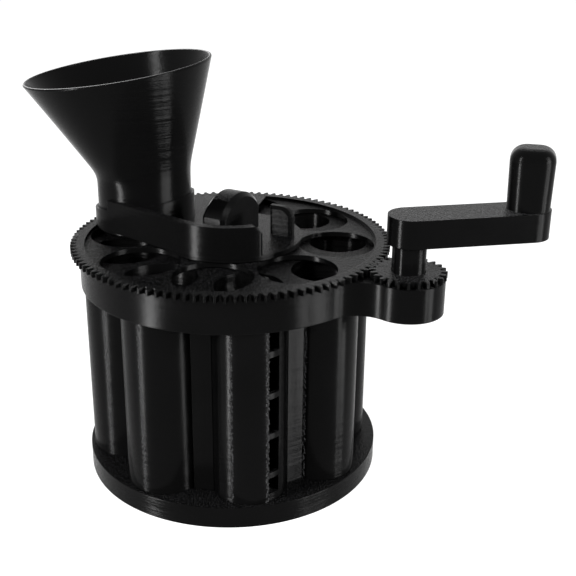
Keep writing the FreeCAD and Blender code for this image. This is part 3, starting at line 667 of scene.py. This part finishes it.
def lip_tree(material):
    """A tipped ring with a small round section."""
    tree, given = size_tree("lip_rule", lip_sizes)
    ring = curve_circle(tree, LIP_STEPS, given["Mouth Radius"])
    x, y, _ = point_place(tree)
    z = given["Level"] - given["Mouth Slope"] * downhill_part(given, x, y)
    tipped = moved(tree, ring, given["Mouth X"] + x, given["Mouth Y"] + y, z)
    section = curve_circle(tree, LIP_SECTION_STEPS, given["Lip Radius"])
    wire = add(tree, "GeometryNodeCurveToMesh", None, {"Curve": tipped, "Profile Curve": section})
    close_tree(tree, wire, material)
    return tree


pale_edge = smooth_plastic("pale_last_layer", 0.22, 0.4)
funnel_lip = grow("funnel_lip", lip_tree(pale_edge), lip_sizes)
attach(funnel_lip, "funnel")

# %% [markdown]
# ## The slotted tube
# The front tube has a window from top to bottom, so that the stack of coins can be counted, and four
# small bridges keep the tube round. A printer leaves the edges of such a slot ragged, layer by layer.
# Cutting the slot with a boolean would give two clean edges, so the tube is made the other way round:
# a long block is bent into the tube's wall, and its two ends, which face each other across the slot,
# are pushed in or out a little at each layer.

# %% Slotted tube sizes
TUBE_WALL = 0.0014
SLOT_ANGLE = math.radians(-51)
SLOT_SIZES = {
    "Slot Width": 0.0044,
    "Slot Foot": 0.003,
    "Bridge Height": 0.0022,
    "First Bridge": 0.0102,
    "Bridge Step": 0.01513,
}
RAGGED = 0.012
SLOT_SEED = 0.0

tube_low, tube_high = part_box("coin_tube_3")
slotted_sizes = {
    "Centre X": (tube_low[0] + tube_high[0]) / 2,
    "Centre Y": (tube_low[1] + tube_high[1]) / 2,
    "Radius": (tube_high[0] - tube_low[0]) / 2,
    "Wall": TUBE_WALL,
    "Bottom": tube_low[2],
    "Length": tube_high[2] - tube_low[2],
    "Slot Angle": SLOT_ANGLE,
    "Ragged": RAGGED,
    "Seed": SLOT_SEED,
    **SLOT_SIZES,
}
print("slotted tube", round(2000 * slotted_sizes["Radius"], 2), "mm across")

# %% [markdown]
# The foot of the tube is closed below the slot, and each bridge closes it again for two millimetres.
# They are blocks bent in the same way, a little wider than the slot so that their ends sit in the wall.
# One bridge is made and set on four points in a line.

# %% Slotted tube
BRIDGES = 4
WALL_COLUMNS = 120
WALL_ROWS = 236
BAR_COLUMNS = 9
BAR_ROWS = 3
BAR_REACH = 2.04


def ragged_edge(tree, given, z):
    """How far the slot's edges stray at the layer of this height, as an angle."""
    number = (z / LAYER).math("ROUND") + given["Seed"]
    chance = add(tree, "ShaderNodeTexWhiteNoise", {"noise_dimensions": "1D"}, {"W": number})
    return (chance - 0.5) * given["Ragged"]


def bent_block(tree, given, columns, rows, height, level, reach=None):
    """A block bent round the tube's axis: over the slot by its reach, or else over all but the slot."""
    counts = {"Size": (1.0, 1.0, 1.0), "Vertices X": columns, "Vertices Y": 2, "Vertices Z": rows}
    block = add(tree, "GeometryNodeMeshCube", None, counts)
    run, depth, rise = point_place(tree)
    radius = given["Radius"] - given["Wall"] * (depth + 0.5)
    half_slot = (given["Slot Width"] / radius * 0.5).math("ARCSINE")
    z = level + rise * height
    if reach:
        turn = given["Slot Angle"] + run * half_slot * reach
    else:
        half_slot = half_slot + ragged_edge(tree, given, z)
        turn = given["Slot Angle"] + math.pi + run * (2 * math.pi - half_slot * 2)
    x = given["Centre X"] + radius * turn.math("COSINE")
    y = given["Centre Y"] + radius * turn.math("SINE")
    return moved(tree, block, x, y, z)


def slotted_tree(material):
    """The open tube, its closed foot and its bridges."""
    tree, given = size_tree("slotted_tube_rule", slotted_sizes)
    middle = given["Bottom"] + given["Length"] * 0.5
    wall = bent_block(tree, given, WALL_COLUMNS, WALL_ROWS, given["Length"], middle)
    foot_middle = given["Bottom"] + given["Slot Foot"] * 0.5
    foot = bent_block(tree, given, BAR_COLUMNS, BAR_ROWS, given["Slot Foot"], foot_middle, BAR_REACH)
    bar = bent_block(tree, given, BAR_COLUMNS, BAR_ROWS, given["Bridge Height"], given["Bottom"], BAR_REACH)
    start = add(tree, "ShaderNodeCombineXYZ", None, {2: given["First Bridge"]})
    step = add(tree, "ShaderNodeCombineXYZ", None, {2: given["Bridge Step"]})
    line = {"Count": BRIDGES, "Start Location": start, "Offset": step}
    points = add(tree, "GeometryNodeMeshLine", None, line)
    bars = add(tree, "GeometryNodeInstanceOnPoints", None, {"Points": points, "Instance": bar})
    together = add(tree, "GeometryNodeJoinGeometry", None, {0: [wall, foot, bars]})
    close_tree(tree, together, material)
    return tree


slotted_tube = grow("slotted_coin_tube", slotted_tree(black), slotted_sizes)
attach(slotted_tube, "stand")
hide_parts("coin_tube_3")

# %% [markdown]
# ## Layer seams
# At the end of every layer the nozzle stops and steps up, and that leaves a tiny bead of plastic. The
# beads stand over each other in a ragged vertical line, which is what breaks up the bright bands on the
# tubes. Each seam is a line of points, one for each layer, with a small rough ball set on every point.
# The ball sinks half into the wall, its size and its step to the side change from layer to layer, and
# the few faces of the ball keep the hundreds of copies light.

# %% Seam rule
SEAM_BEAD = 0.0003
SEAM_WANDER = 0.0011
THINNEST = 0.35
THICKER = 0.9
FLATNESS = 0.8
SECOND_DRAW_STEP = 1.7
SECOND_DRAW_START = 3.1

seam_labels = ("Centre X", "Centre Y", "Radius", "Azimuth", "Bottom", "Length", "Bead", "Wander", "Seed")


def seam_tree(material):
    """One vertical line of beads on an upright round wall."""
    tree, given = size_tree("seam_rule", seam_labels)
    step = add(tree, "ShaderNodeCombineXYZ", None, {2: LAYER})
    count = (given["Length"] / LAYER).math("FLOOR")
    layers = add(tree, "GeometryNodeMeshLine", None, {"Count": count, "Offset": step})
    _, _, rise = point_place(tree)
    number = rise / LAYER + given["Seed"]
    chance = add(tree, "ShaderNodeTexWhiteNoise", {"noise_dimensions": "1D"}, {"W": number})
    turn = given["Azimuth"] + (chance - 0.5) * given["Wander"] / given["Radius"]
    x = given["Centre X"] + given["Radius"] * turn.math("COSINE")
    y = given["Centre Y"] + given["Radius"] * turn.math("SINE")
    line = moved(tree, layers, x, y, given["Bottom"] + rise)
    ball = add(tree, "GeometryNodeMeshIcoSphere", None, {"Radius": given["Bead"], "Subdivisions": 1})
    second_draw = number * SECOND_DRAW_STEP + SECOND_DRAW_START
    growth = add(tree, "ShaderNodeTexWhiteNoise", {"noise_dimensions": "1D"}, {"W": second_draw})
    fatness = growth * THICKER + THINNEST
    flattened = add(tree, "ShaderNodeCombineXYZ", None, {0: fatness, 1: fatness, 2: fatness * FLATNESS})
    beads = add(tree, "GeometryNodeInstanceOnPoints", None,
                {"Points": line, "Instance": ball, "Scale": flattened})
    close_tree(tree, beads, material)
    return tree


print("seam beads up to", round(2000 * SEAM_BEAD * (THINNEST + THICKER), 2), "mm across")

# %% [markdown]
# Every tube has one seam, which on the tubes in front runs down the bright band. The front tube has a
# second one, because each of its layers also stops and starts at the edge of the slot. Drawn-out
# plastic is a little paler than the rest, so the beads get a paler finish.

# %% Layer seams
SEAM_COLOR = 0.028
SEAM_PLACES = ((1, -118), (2, -121), (3, -119), (3, -63), (4, -122), (5, -57), (6, 20), (7, 75))
SEED_STEP = 100.0

seam_rule = seam_tree(printed_plastic("black_print_seam", 45.0, color=SEAM_COLOR))
for number, (coin, azimuth) in enumerate(SEAM_PLACES, start=1):
    low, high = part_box(f"coin_tube_{coin}")
    seam = grow(f"layer_seam_{number}", seam_rule, {
        "Centre X": (low[0] + high[0]) / 2,
        "Centre Y": (low[1] + high[1]) / 2,
        "Radius": (high[0] - low[0]) / 2,
        "Azimuth": math.radians(azimuth),
        "Bottom": low[2] + LAYER,
        "Length": high[2] - low[2] - 2 * LAYER,
        "Bead": SEAM_BEAD,
        "Wander": SEAM_WANDER,
        "Seed": SEED_STEP * number,
    })
    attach(seam, "stand")

# %% [markdown]
